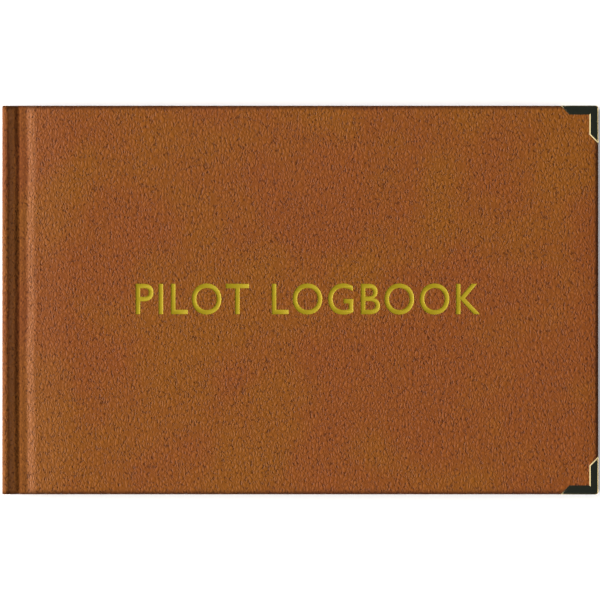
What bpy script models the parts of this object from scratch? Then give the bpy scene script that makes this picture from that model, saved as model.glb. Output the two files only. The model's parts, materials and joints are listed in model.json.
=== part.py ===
"""Pilot logbook: a landscape case-bound book with brass corner guards.

The book lies closed on its back cover. +X runs from the spine to the fore-edge, +Y to the head and +Z to the
front cover, and the origin is under the middle of the book. Everything on the front cover is the back
cover's shape mirrored in the plane half way up, so only the back half is described, by its depth from the
outer face.

Three lines along Y carry all the turning: the back hinge, the front hinge, and the opening line on the back
of the leaves, half way up, where the book opens between its fourth and fifth signatures.
"""

from math import cos, pi, radians, sin, sqrt

import bmesh
import bpy
from mathutils import Matrix, Vector

MM = 0.001

# Driving dimensions
COVER_LENGTH = 238 * MM  # outer face of the spine to the fore-edge of the cover
COVER_HEIGHT = 155.2 * MM  # tail to head
CASE_THICKNESS = 14.8 * MM  # leatherette to leatherette
CORNER_PROUD = 0.15 * MM  # brass above the leatherette
LEATHERETTE = 0.45 * MM
GLUE_GAP = 0.1 * MM  # between neighbours
BOARD = 1.8 * MM
PASTEDOWN = 0.15 * MM
TURN_IN = 15 * MM
SQUARE = 3 * MM  # how far the cover reaches past the leaves
BOARD_START = 7.5 * MM  # from the outer face of the spine to the leatherette at the board
BOARD_EDGE_RADIUS = 1.5 * MM
COVER_EDGE_RADIUS = 0.6 * MM
POCKET_REACH = 2 * MM  # how far the pockets' cutters stand clear of the cover
PASTEDOWN_MARGIN = 4.5 * MM  # from the cover's edge, just inside the corner guards
PASTEDOWN_START = 1 * MM  # from the board's leatherette, as for the mull
MULL = 0.3 * MM
MULL_WIDTH = 25 * MM
MULL_HALF_HEIGHT = 56 * MM

# The groove between the spine and the board, in mm: distance from the spine's outer face, and depth
GROOVE = [(3.6, 1.5), (4.3, 1.98), (5.2, 2.12), (6.2, 2.02), (7.2, 1.7)]

SIGNATURE = 0.88 * MM
SIGNATURES_PER_HALF = 4
FOLD_ROUNDING = 0.45  # radius of the fold, as a share of the signature's thickness
FLYLEAF = 0.15 * MM
FOLD_X = 2.9 * MM  # where the folds of the signatures lie
LINING_X = 1.72 * MM
LINING = 0.33 * MM
LINING_MARGIN = 1 * MM  # from the head and tail of the leaves
BAND_TAPE_LENGTH = 8 * MM
BAND_BEAD_RADIUS = 0.75 * MM
THREAD_X = 2.45 * MM
THREAD_RADIUS = 0.18 * MM
SEWING_STATIONS = [y * MM for y in (-58, -29, 0, 29, 58)]

SPINE_RADIUS = 1.6 * MM  # rounding of the spine's two long edges, centred on the hinge lines
SPINE_WRAP = radians(155)  # how far the leatherette follows that rounding into the groove
SPINE_INLAY = 0.5 * MM
SPINE_INLAY_MARGIN = 0.2 * MM

CORNER_LEG = 15.2 * MM
CORNER_BAND = 3.6 * MM

# Tests on a mesh
TOUCHING = 1e-6
FACING = 0.99  # a face's normal is along an axis
SHARP = radians(60)

# Worked out from the driving dimensions
BOOK_THICKNESS = CASE_THICKNESS + 2 * CORNER_PROUD
HALF_HEIGHT = COVER_HEIGHT / 2
MIDDLE = BOOK_THICKNESS / 2
BOARD_INSET = LEATHERETTE + GLUE_GAP
TURN_IN_DEPTH = BOARD_INSET + BOARD + GLUE_GAP + LEATHERETTE
PASTEDOWN_DEPTH = TURN_IN_DEPTH + GLUE_GAP
LEAF_END = COVER_LENGTH - SQUARE
LEAF_HALF_HEIGHT = HALF_HEIGHT - SQUARE
HINGE_X = SPINE_RADIUS
BACK_HINGE_Z = CORNER_PROUD + SPINE_RADIUS

# Book coordinates run from the outer face of the spine, and the frame's origin is half way along.
ORIGIN_SHIFT = Vector((-COVER_LENGTH / 2, 0, 0))
BACK_HINGE = Vector((HINGE_X, 0, BACK_HINGE_Z))
FRONT_HINGE = Vector((HINGE_X, 0, BOOK_THICKNESS - BACK_HINGE_Z))
OPENING_LINE = Vector((HINGE_X, 0, MIDDLE))

# name: colour, roughness, metallic
FINISHES = {
    "leatherette": ((0.27, 0.085, 0.024), 0.5, 0.0),
    "brass": ((0.55, 0.42, 0.18), 0.25, 1.0),
    "greyboard": ((0.30, 0.28, 0.25), 0.9, 0.0),
    "page_paper": ((0.80, 0.77, 0.68), 0.85, 0.0),
    "endpaper": ((0.74, 0.70, 0.60), 0.85, 0.0),
    "mull": ((0.72, 0.68, 0.58), 0.95, 0.0),
    "woven_band": ((0.45, 0.10, 0.06), 0.7, 0.0),
    "thread": ((0.85, 0.83, 0.76), 0.8, 0.0),
    "kraft_lining": ((0.42, 0.28, 0.15), 0.9, 0.0),
}


def clear_scene():
    for obj in list(bpy.data.objects):
        bpy.data.objects.remove(obj, do_unlink=True)


def make_collection(name):
    collection = bpy.data.collections.new(name)
    bpy.context.scene.collection.children.link(collection)
    return collection


def make_materials():
    materials = {}
    for name, (colour, roughness, metallic) in FINISHES.items():
        material = bpy.data.materials.new(name)
        material.use_nodes = True
        shader = material.node_tree.nodes["Principled BSDF"]
        shader.inputs["Base Color"].default_value = (*colour, 1)
        shader.inputs["Roughness"].default_value = roughness
        shader.inputs["Metallic"].default_value = metallic
        materials[name] = material
    return materials


def make_pivot(name, place):
    """An empty on a turning line, which the pieces that turn on it are parented to."""
    pivot = bpy.data.objects.new(name, None)
    pivot.empty_display_size = 5 * MM
    pivot.location = place + ORIGIN_SHIFT
    BOOK.objects.link(pivot)
    return pivot


def add_piece(name, bm, finish, pivot, front=False):
    """Makes the object of a bmesh given in book coordinates. front mirrors the back half's shape upwards."""
    if front:
        bmesh.ops.transform(bm, matrix=Matrix.Scale(-1, 4, (0, 0, 1)), verts=bm.verts)
        bmesh.ops.translate(bm, vec=(0, 0, BOOK_THICKNESS), verts=bm.verts)
        bmesh.ops.reverse_faces(bm, faces=bm.faces)
    bmesh.ops.translate(bm, vec=ORIGIN_SHIFT - pivot.location, verts=bm.verts)
    mesh = bpy.data.meshes.new(name)
    bm.to_mesh(mesh)
    bm.free()
    piece = bpy.data.objects.new(name, mesh)
    piece.parent = pivot
    mesh.materials.append(MATERIALS[finish])
    BOOK.objects.link(piece)
    return piece


def box(low, high):
    bm = bmesh.new()
    size = Vector(high) - Vector(low)
    bmesh.ops.create_cube(bm, size=1)
    bmesh.ops.scale(bm, vec=size, verts=bm.verts)
    bmesh.ops.translate(bm, vec=(Vector(low) + Vector(high)) / 2, verts=bm.verts)
    return bm


def edges_where(bm, test):
    """The edges whose two ends both pass the test."""
    return [edge for edge in bm.edges if all(test(vert.co) for vert in edge.verts)]


def round_edges(bm, edges, radius, segments=2):
    bmesh.ops.bevel(
        bm, geom=edges, offset=radius, offset_type="OFFSET", segments=segments, profile=0.5, affect="EDGES"
    )


def prism(outline, low, high):
    """A solid that stands on a flat outline, from one height to another."""
    bm = bmesh.new()
    face = bm.faces.new([bm.verts.new((x, y, low)) for x, y in outline])
    extruded = bmesh.ops.extrude_face_region(bm, geom=[face])
    moved = [item for item in extruded["geom"] if isinstance(item, bmesh.types.BMVert)]
    bmesh.ops.translate(bm, vec=(0, 0, high - low), verts=moved)
    bmesh.ops.recalc_face_normals(bm, faces=bm.faces)
    return bm


def add_solidify(piece, thickness):
    shell = piece.modifiers.new("leatherette thickness", "SOLIDIFY")
    shell.thickness = thickness
    shell.offset = -1
    shell.use_even_offset = True


def sheet_along_y(profile, half_height):
    """An open surface: a profile in X and Z swept from tail to head."""
    bm = bmesh.new()
    tail = [bm.verts.new((x, -half_height, z)) for x, z in profile]
    edges = [bm.edges.new(pair) for pair in zip(tail, tail[1:])]
    swept = bmesh.ops.extrude_edge_only(bm, edges=edges)
    head = [item for item in swept["geom"] if isinstance(item, bmesh.types.BMVert)]
    bmesh.ops.translate(bm, vec=(0, 2 * half_height, 0), verts=head)
    return bm


def corner_outline(head, gap=0.0, reach=0.0):
    """The L of a corner guard, its legs' ends cut at 45 degrees.

    gap widens it all round, and reach extends it outwards.
    """
    end = CORNER_LEG + sqrt(2) * gap
    band = CORNER_BAND + gap
    steps = [(-reach, -reach), (end + reach, -reach), (end - band, band)]
    steps += [(band, band), (band, end - band), (-reach, end + reach)]
    side = 1 if head else -1
    return [(COVER_LENGTH - along, side * (HALF_HEIGHT - across)) for along, across in steps]


# ---- The case ------------------------------------------------------------------------------------


def add_board(side, pivot):
    low = (BOARD_START + BOARD_INSET, -HALF_HEIGHT + BOARD_INSET, CORNER_PROUD + BOARD_INSET)
    high = (COVER_LENGTH - BOARD_INSET, HALF_HEIGHT - BOARD_INSET, CORNER_PROUD + BOARD_INSET + BOARD)
    bm = box(low, high)
    spine_edge = edges_where(bm, lambda co: abs(co.x - low[0]) < TOUCHING and abs(co.z - low[2]) < TOUCHING)
    round_edges(bm, spine_edge, BOARD_EDGE_RADIUS - BOARD_INSET, segments=3)
    add_piece(f"{side}_board", bm, "greyboard", pivot, front=side == "front")


def corner_cutter(name, bm):
    """A hidden mesh that the leatherette's pocket for a corner guard is cut with."""
    mesh = bpy.data.meshes.new(name)
    bmesh.ops.translate(bm, vec=ORIGIN_SHIFT, verts=bm.verts)
    bm.to_mesh(mesh)
    bm.free()
    cutter = bpy.data.objects.new(name, mesh)
    cutter.hide_render = True
    cutter.display_type = "WIRE"
    CUTTERS.objects.link(cutter)
    return cutter


def add_cover_skin(side, pivot):
    """Leatherette over the board and turned in at the head, tail and fore-edge. It is open at the spine."""
    low = (BOARD_START, -HALF_HEIGHT, CORNER_PROUD)
    high = (COVER_LENGTH, HALF_HEIGHT, CORNER_PROUD + TURN_IN_DEPTH)
    bm = box(low, high)
    spine_edge = edges_where(bm, lambda co: abs(co.x - low[0]) < TOUCHING and abs(co.z - low[2]) < TOUCHING)
    round_edges(bm, spine_edge, BOARD_EDGE_RADIUS, segments=3)
    outer_edges = [
        edge
        for edge in bm.edges
        if all(vert.co.x > BOARD_START + TOUCHING for vert in edge.verts)
        and edge.calc_face_angle(0) > SHARP
    ]
    round_edges(bm, outer_edges, COVER_EDGE_RADIUS)
    for place, normal in (
        ((0, HALF_HEIGHT - TURN_IN, 0), (0, 1, 0)),
        ((0, TURN_IN - HALF_HEIGHT, 0), (0, 1, 0)),
        ((COVER_LENGTH - TURN_IN, 0, 0), (1, 0, 0)),
    ):
        geometry = bm.verts[:] + bm.edges[:] + bm.faces[:]
        bmesh.ops.bisect_plane(bm, geom=geometry, plane_co=place, plane_no=normal)

    def open_here(face):
        centre = face.calc_center_median()
        spine_wall = face.normal.x < -FACING
        inside = (
            face.normal.z > FACING
            and centre.x < COVER_LENGTH - TURN_IN
            and abs(centre.y) < HALF_HEIGHT - TURN_IN
        )
        return spine_wall or inside

    bmesh.ops.delete(bm, geom=[face for face in bm.faces if open_here(face)], context="FACES")
    skin = add_piece(f"{side}_cover_skin", bm, "leatherette", pivot, front=side == "front")
    add_solidify(skin, LEATHERETTE)
    for end in ("head", "tail"):
        outline = corner_outline(end == "head", gap=GLUE_GAP, reach=POCKET_REACH)
        solid = prism(outline, -POCKET_REACH, BOOK_THICKNESS + POCKET_REACH)
        cutter = corner_cutter(f"{side}_{end}_pocket", solid)
        pocket = skin.modifiers.new(f"{end} corner pocket", "BOOLEAN")
        pocket.operation = "DIFFERENCE"
        pocket.object = cutter


def add_corner(side, end, pivot):
    """A folded brass guard: a plate on each face of the cover, joined by a wall on each of its two edges."""
    bm = prism(corner_outline(end == "head"), 0, CORNER_PROUD + TURN_IN_DEPTH)
    guard = add_piece(f"corner_{side}_{end}", bm, "brass", pivot, front=side == "front")
    reach = BOARD_INSET - GLUE_GAP
    low = (BOARD_START, -HALF_HEIGHT + reach, CORNER_PROUD + reach)
    high = (COVER_LENGTH - reach, HALF_HEIGHT - reach, CORNER_PROUD + BOARD_INSET + BOARD + GLUE_GAP)
    if side == "front":
        low, high = (*low[:2], BOOK_THICKNESS - high[2]), (*high[:2], BOOK_THICKNESS - low[2])
    slot = guard.modifiers.new("slot for the board", "BOOLEAN")
    slot.operation = "DIFFERENCE"
    slot.object = corner_cutter(f"{side}_{end}_slot", box(low, high))


def add_pastedown(side, pivot):
    depth = CORNER_PROUD + PASTEDOWN_DEPTH
    half_height = HALF_HEIGHT - PASTEDOWN_MARGIN
    low = (BOARD_START + PASTEDOWN_START, -half_height, depth)
    high = (COVER_LENGTH - PASTEDOWN_MARGIN, half_height, depth + PASTEDOWN)
    add_piece(f"{side}_pastedown", box(low, high), "endpaper", pivot, front=side == "front")


def add_mull_flap(side, pivot):
    """Gauze from the back of the leaves, glued to the inside of the board under the pastedown."""
    depth = CORNER_PROUD + BOARD_INSET + BOARD + GLUE_GAP
    start = BOARD_START + PASTEDOWN_START
    low = (start, -MULL_HALF_HEIGHT, depth)
    high = (start + MULL_WIDTH, MULL_HALF_HEIGHT, depth + MULL)
    add_piece(f"mull_{side}_flap", box(low, high), "mull", pivot, front=side == "front")


def add_joint_skin(side, pivot):
    """Leatherette pressed into the groove between the spine and the board."""
    bm = sheet_along_y([(x * MM, CORNER_PROUD + depth * MM) for x, depth in GROOVE], HALF_HEIGHT)
    bmesh.ops.recalc_face_normals(bm, faces=bm.faces)
    bm.normal_update()
    if next(iter(bm.faces)).normal.z > 0:
        bmesh.ops.reverse_faces(bm, faces=bm.faces)
    strip = add_piece(f"{side}_joint_skin", bm, "leatherette", pivot, front=side == "front")
    add_solidify(strip, LEATHERETTE)


def add_spine_skin(pivot):
    """Flat down the back, and round over both hinge lines to the edges of the grooves."""
    profile = []
    steps = 8
    for step in range(steps + 1):
        angle = pi + SPINE_WRAP * (1 - step / steps)
        profile.append((HINGE_X + SPINE_RADIUS * cos(angle), BACK_HINGE_Z + SPINE_RADIUS * sin(angle)))
    front_hinge_z = BOOK_THICKNESS - BACK_HINGE_Z
    for step in range(steps + 1):
        angle = pi - SPINE_WRAP * step / steps
        profile.append((HINGE_X + SPINE_RADIUS * cos(angle), front_hinge_z + SPINE_RADIUS * sin(angle)))
    bm = sheet_along_y(profile, HALF_HEIGHT)
    bmesh.ops.recalc_face_normals(bm, faces=bm.faces)
    bm.normal_update()
    flat = max(bm.faces, key=lambda face: face.calc_area())
    if flat.normal.x > 0:
        bmesh.ops.reverse_faces(bm, faces=bm.faces)
    add_solidify(add_piece("spine_skin", bm, "leatherette", pivot), LEATHERETTE)


def add_spine_inlay(pivot):
    edge = BACK_HINGE_Z + SPINE_INLAY_MARGIN
    low = (BOARD_INSET, -HALF_HEIGHT + BOARD_INSET, edge)
    high = (BOARD_INSET + SPINE_INLAY, HALF_HEIGHT - BOARD_INSET, BOOK_THICKNESS - edge)
    add_piece("spine_inlay", box(low, high), "greyboard", pivot)


# ---- The leaves ----------------------------------------------------------------------------------


def signature_bottom(index):
    """The height of a signature's underside, counted up from the back cover's."""
    from_middle = SIGNATURES_PER_HALF - index
    return MIDDLE - from_middle * (SIGNATURE + GLUE_GAP) + GLUE_GAP / 2


LEAVES_BOTTOM = signature_bottom(0) - GLUE_GAP - FLYLEAF


def add_signature(number, index, pivot, front):
    """Eight leaves folded together: the fold is round, and the other three edges are trimmed square."""
    base = signature_bottom(index)
    bm = box((FOLD_X, -LEAF_HALF_HEIGHT, base), (LEAF_END, LEAF_HALF_HEIGHT, base + SIGNATURE))
    fold = edges_where(bm, lambda co: abs(co.x - FOLD_X) < TOUCHING)
    fold = [edge for edge in fold if abs(edge.verts[0].co.y - edge.verts[1].co.y) > TOUCHING]
    round_edges(bm, fold, SIGNATURE * FOLD_ROUNDING)
    add_piece(f"signature_{number}", bm, "page_paper", pivot, front=front)


def add_flyleaf(side, pivot):
    low = (FOLD_X, -LEAF_HALF_HEIGHT, LEAVES_BOTTOM)
    high = (LEAF_END, LEAF_HALF_HEIGHT, LEAVES_BOTTOM + FLYLEAF)
    add_piece(f"{side}_flyleaf", box(low, high), "endpaper", pivot, front=side == "front")


def add_lining(half, pivot):
    half_height = LEAF_HALF_HEIGHT - LINING_MARGIN
    low = (LINING_X, -half_height, LEAVES_BOTTOM)
    high = (LINING_X + LINING, half_height, MIDDLE - GLUE_GAP)
    add_piece(f"spine_lining_{half}", box(low, high), "kraft_lining", pivot, front=half == "upper")


def add_end_band(kind, half, pivot):
    """A woven band: a bead along the end of the leaves, on a tape that is glued to the folds."""
    tape_start = LINING_X + LINING + GLUE_GAP
    tape_end = FOLD_X - GLUE_GAP
    tape_tip = LEAF_HALF_HEIGHT - BAND_TAPE_LENGTH
    bead_x = tape_start + BAND_BEAD_RADIUS
    bead_y = LEAF_HALF_HEIGHT + GLUE_GAP + BAND_BEAD_RADIUS
    outline = [(tape_end, tape_tip), (tape_end, LEAF_HALF_HEIGHT)]
    steps = 8
    for step in range(steps + 1):
        angle = radians(-90) + radians(270) * step / steps
        outline.append((bead_x + BAND_BEAD_RADIUS * cos(angle), bead_y + BAND_BEAD_RADIUS * sin(angle)))
    outline.append((tape_start, tape_tip))
    if kind == "tailband":
        outline = [(x, -y) for x, y in outline]
    bm = prism(outline, LEAVES_BOTTOM, MIDDLE - GLUE_GAP)
    add_piece(f"{kind}_{half}", bm, "woven_band", pivot, front=half == "upper")


def add_sewing_thread(half, pivot):
    """One thread that crosses the folds at each sewing station and runs on to the next."""
    near, far = LEAVES_BOTTOM + 2 * THREAD_RADIUS, MIDDLE - GLUE_GAP - 2 * THREAD_RADIUS
    points = []
    for index, y in enumerate(SEWING_STATIONS):
        crossing = (near, far) if index % 2 == 0 else (far, near)
        points += [(THREAD_X, y, z) for z in crossing]
    curve = bpy.data.curves.new(f"sewing_thread_{half}", "CURVE")
    curve.dimensions = "3D"
    curve.bevel_depth = THREAD_RADIUS
    curve.bevel_resolution = 2
    curve.use_fill_caps = True
    spline = curve.splines.new("POLY")
    spline.points.add(len(points) - 1)
    for point, (x, y, z) in zip(spline.points, points):
        height = BOOK_THICKNESS - z if half == "upper" else z
        point.co = (*(Vector((x, y, height)) + ORIGIN_SHIFT - pivot.location), 1)
    thread = bpy.data.objects.new(f"sewing_thread_{half}", curve)
    thread.parent = pivot
    curve.materials.append(MATERIALS["thread"])
    BOOK.objects.link(thread)


def add_cover(side, pivot):
    add_board(side, pivot)
    add_cover_skin(side, pivot)
    add_pastedown(side, pivot)
    add_mull_flap(side, pivot)
    for end in ("head", "tail"):
        add_corner(side, end, pivot)
    add_joint_skin(side, pivot)


def add_leaves(half, side, pivot):
    """Half of the leaves, from the cover inwards: signatures 1 to 4 are the upper half, 8 to 5 the lower."""
    front = half == "upper"
    for index in range(SIGNATURES_PER_HALF):
        number = 1 + index if front else 2 * SIGNATURES_PER_HALF - index
        add_signature(number, index, pivot, front)
    add_flyleaf(side, pivot)
    add_lining(half, pivot)
    add_sewing_thread(half, pivot)
    for kind in ("headband", "tailband"):
        add_end_band(kind, half, pivot)


clear_scene()
BOOK = make_collection("pilot_logbook")
CUTTERS = make_collection("cutters")
MATERIALS = make_materials()

back_hinge = make_pivot("back_hinge", BACK_HINGE)
front_hinge = make_pivot("front_hinge", FRONT_HINGE)
opening_line = make_pivot("opening_line", OPENING_LINE)
bpy.context.view_layer.update()

add_cover("back", back_hinge)
add_spine_skin(back_hinge)
add_spine_inlay(back_hinge)
add_cover("front", front_hinge)
add_leaves("lower", "back", back_hinge)
add_leaves("upper", "front", opening_line)
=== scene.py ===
"""Pilot logbook: its visible pieces and their finishes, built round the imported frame.

The closed book lies on its back cover. +X runs from the spine to the fore-edge, +Y to the head and +Z up. A
shape that both covers share is built for the front one and mirrored down for the back one.
"""

from __future__ import annotations

import json
import logging
import math
import random
from dataclasses import dataclass
from enum import Enum
from typing import Any, Callable, Sequence

import bmesh
import bpy
from mathutils import Matrix, Vector, noise

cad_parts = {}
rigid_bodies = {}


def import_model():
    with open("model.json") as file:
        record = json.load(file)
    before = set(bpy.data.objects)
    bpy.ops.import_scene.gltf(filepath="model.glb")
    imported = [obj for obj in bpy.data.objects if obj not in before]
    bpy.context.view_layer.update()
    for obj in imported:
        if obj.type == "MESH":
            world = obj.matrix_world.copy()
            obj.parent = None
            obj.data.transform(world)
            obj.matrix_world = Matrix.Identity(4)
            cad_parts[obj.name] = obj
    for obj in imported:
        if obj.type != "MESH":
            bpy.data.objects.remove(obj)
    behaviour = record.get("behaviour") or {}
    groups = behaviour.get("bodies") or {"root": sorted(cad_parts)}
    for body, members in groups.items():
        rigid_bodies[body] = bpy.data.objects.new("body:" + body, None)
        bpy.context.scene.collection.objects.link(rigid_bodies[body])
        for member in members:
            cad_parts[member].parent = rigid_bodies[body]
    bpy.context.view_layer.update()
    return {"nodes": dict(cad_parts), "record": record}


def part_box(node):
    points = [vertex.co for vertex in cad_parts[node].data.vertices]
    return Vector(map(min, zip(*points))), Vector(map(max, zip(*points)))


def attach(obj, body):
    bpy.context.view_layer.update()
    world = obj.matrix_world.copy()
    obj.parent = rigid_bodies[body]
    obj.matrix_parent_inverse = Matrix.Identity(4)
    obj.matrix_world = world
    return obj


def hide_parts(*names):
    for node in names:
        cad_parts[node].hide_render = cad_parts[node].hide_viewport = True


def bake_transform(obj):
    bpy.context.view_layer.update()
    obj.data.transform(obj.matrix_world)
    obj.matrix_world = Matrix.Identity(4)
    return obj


log = logging.getLogger("pilot_logbook")

MM = 0.001
PLACE = "place"


class Side(Enum):
    """One of the two covers."""

    FRONT = "front"
    BACK = "back"


class End(Enum):
    """One end of the spine. Its value is the sign of Y there."""

    HEAD = 1
    TAIL = -1

    @property
    def word(self) -> str:
        """The end's name in the frame's node names."""
        return self.name.lower()


@dataclass(frozen=True)
class Book:
    """Where the closed book's surfaces lie, read from the frame.

    Attributes:
        spine: X of the spine's outer face.
        fore: X of the covers' fore-edge.
        head: Y of the covers' head. The tail is at minus this.
        top: Z of the front leatherette's outer face.
        bottom: Z of the back leatherette's outer face.
        board: X where the boards' leatherette starts.
        inner: depth of the turned-in leatherette's inner face.
        leaf_low: lowest corner of the leaves.
        leaf_high: highest corner of the leaves.
    """

    spine: float
    fore: float
    head: float
    top: float
    bottom: float
    board: float
    inner: float
    leaf_low: Vector
    leaf_high: Vector

    @classmethod
    def from_frame(cls) -> "Book":
        """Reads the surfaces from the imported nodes."""
        front_low, front_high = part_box("front_cover_skin")
        back_low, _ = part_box("back_cover_skin")
        return cls(
            spine=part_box("spine_skin")[0].x,
            fore=front_high.x,
            head=front_high.y,
            top=front_high.z,
            bottom=back_low.z,
            board=front_low.x,
            inner=front_high.z - front_low.z,
            leaf_low=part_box("signature_8")[0],
            leaf_high=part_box("signature_1")[1],
        )

    @property
    def middle(self) -> float:
        """Z half way up, where the book opens."""
        return (self.top + self.bottom) / 2


# ---- Mesh helpers ---------------------------------------------------------------------------------------------


def box_mesh(low: Sequence[float], high: Sequence[float]) -> bmesh.types.BMesh:
    """A box between two corners."""
    bm = bmesh.new()
    bmesh.ops.create_cube(bm, size=1)
    bmesh.ops.scale(bm, vec=Vector(high) - Vector(low), verts=bm.verts)
    bmesh.ops.translate(bm, vec=(Vector(low) + Vector(high)) / 2, verts=bm.verts)
    return bm


def prism(outline: Sequence[tuple[float, float]], low: float, high: float, upright: bool = True) -> bmesh.types.BMesh:
    """Extrudes a flat outline.

    Args:
        outline: the corners in order, as X and Y, or as X and Z when it isn't upright.
        low: where the extrusion starts.
        high: where it ends.
        upright: whether it is extruded along Z, and not along Y.

    Returns:
        The closed solid.
    """
    bm = bmesh.new()
    place: Callable[[float, float], tuple] = lambda a, b: (a, b, low) if upright else (a, low, b)
    face = bm.faces.new([bm.verts.new(place(*point)) for point in outline])
    made = bmesh.ops.extrude_face_region(bm, geom=[face])["geom"]
    rise = Vector((0, 0, high - low)) if upright else Vector((0, high - low, 0))
    bmesh.ops.translate(bm, vec=rise, verts=[v for v in made if isinstance(v, bmesh.types.BMVert)])
    bmesh.ops.recalc_face_normals(bm, faces=bm.faces)
    return bm


def mapped_sheet(columns: int, rows: int, place: Callable[[float, float], Vector]) -> bmesh.types.BMesh:
    """A grid bent into shape.

    Args:
        columns: faces along u.
        rows: faces along v.
        place: gives the point for u and v, each from 0 to 1.

    Returns:
        The open sheet. Its faces point to u cross v.
    """
    bm = bmesh.new()
    bmesh.ops.create_grid(bm, x_segments=columns, y_segments=rows, size=0.5)
    for vert in bm.verts:
        vert.co = place(vert.co.x + 0.5, vert.co.y + 0.5)
    return bm


def cut_across(bm: bmesh.types.BMesh, places: Sequence[float], axis: int) -> None:
    """Adds a loop of edges at each place along an axis."""
    normal = Vector([float(index == axis) for index in range(3)])
    for place in places:
        geometry = bm.verts[:] + bm.edges[:] + bm.faces[:]
        bmesh.ops.bisect_plane(bm, geom=geometry, plane_co=normal * place, plane_no=normal, dist=1e-7)


def spaced(low: float, high: float, pitch: float) -> list[float]:
    """Even places between two ends, about a pitch apart, without the ends themselves."""
    count = max(1, round((high - low) / pitch))
    return [low + (high - low) * index / count for index in range(1, count)]


def bevel(bm: bmesh.types.BMesh, edges: Sequence[bmesh.types.BMEdge], width: float, segments: int) -> None:
    """Rounds edges."""
    bmesh.ops.bevel(
        bm,
        geom=list(edges),
        offset=width,
        offset_type="OFFSET",
        segments=segments,
        profile=0.5,
        material=-1,
        affect="EDGES",
    )


def mirror_down(bm: bmesh.types.BMesh, book: Book) -> None:
    """Turns a shape made for the front cover into the back cover's."""
    bmesh.ops.transform(bm, matrix=Matrix.Scale(-1, 4, (0, 0, 1)), verts=bm.verts)
    bmesh.ops.translate(bm, vec=(0, 0, book.top + book.bottom), verts=bm.verts)
    bmesh.ops.reverse_faces(bm, faces=bm.faces)


def to_object(name: str, bm: bmesh.types.BMesh, material: bpy.types.Material | None = None) -> bpy.types.Object:
    """Makes the object of a bmesh, smooth except at sharp edges."""
    mesh = bpy.data.meshes.new(name)
    bm.to_mesh(mesh)
    bm.free()
    mesh.shade_smooth()
    mesh.set_sharp_from_angle(angle=math.radians(40))
    made = bpy.data.objects.new(name, mesh)
    if material:
        mesh.materials.append(material)
    bpy.context.scene.collection.objects.link(made)
    return made


def applied(source: bpy.types.Object) -> bpy.types.Object:
    """Applies an object's modifiers to its mesh, and keeps its new rims sharp."""
    bpy.context.view_layer.update()
    graph = bpy.context.evaluated_depsgraph_get()
    mesh = bpy.data.meshes.new_from_object(source.evaluated_get(graph))
    mesh.name = source.name
    mesh.set_sharp_from_angle(angle=math.radians(40))
    source.modifiers.clear()
    source.data = mesh
    return source


def thicken(piece: bpy.types.Object, thickness: float) -> None:
    """Gives an open sheet its thickness, inwards."""
    shell = piece.modifiers.new("thickness", "SOLIDIFY")
    shell.thickness = thickness
    shell.offset = -1


def cut_away(piece: bpy.types.Object, cutter: bpy.types.Object) -> None:
    """Cuts one closed object from another and removes the cutter."""
    cut = piece.modifiers.new("cut", "BOOLEAN")
    cut.operation = "DIFFERENCE"
    cut.object = cutter
    cut.use_self = True
    applied(piece)
    bpy.data.objects.remove(cutter)


def keep_place(piece: bpy.types.Object) -> None:
    """Stores where each point of a piece lies in the closed book, so that a pattern bends with the piece."""
    attribute = piece.data.attributes.new(PLACE, "FLOAT_VECTOR", "POINT")
    for vert, kept in zip(piece.data.vertices, attribute.data):
        kept.vector = vert.co


def smoothstep(value: float) -> float:
    """A smooth rise from 0 to 1."""
    value = min(max(value, 0.0), 1.0)
    return value * value * (3 - 2 * value)


# ---- Materials ------------------------------------------------------------------------------------------------


def linear(colour: str) -> tuple[float, float, float, float]:
    """Turns an sRGB hex colour into linear light."""
    channels = [int(colour[index : index + 2], 16) / 255 for index in (1, 3, 5)]
    return (*[c / 12.92 if c <= 0.04045 else ((c + 0.055) / 1.055) ** 2.4 for c in channels], 1.0)


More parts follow.
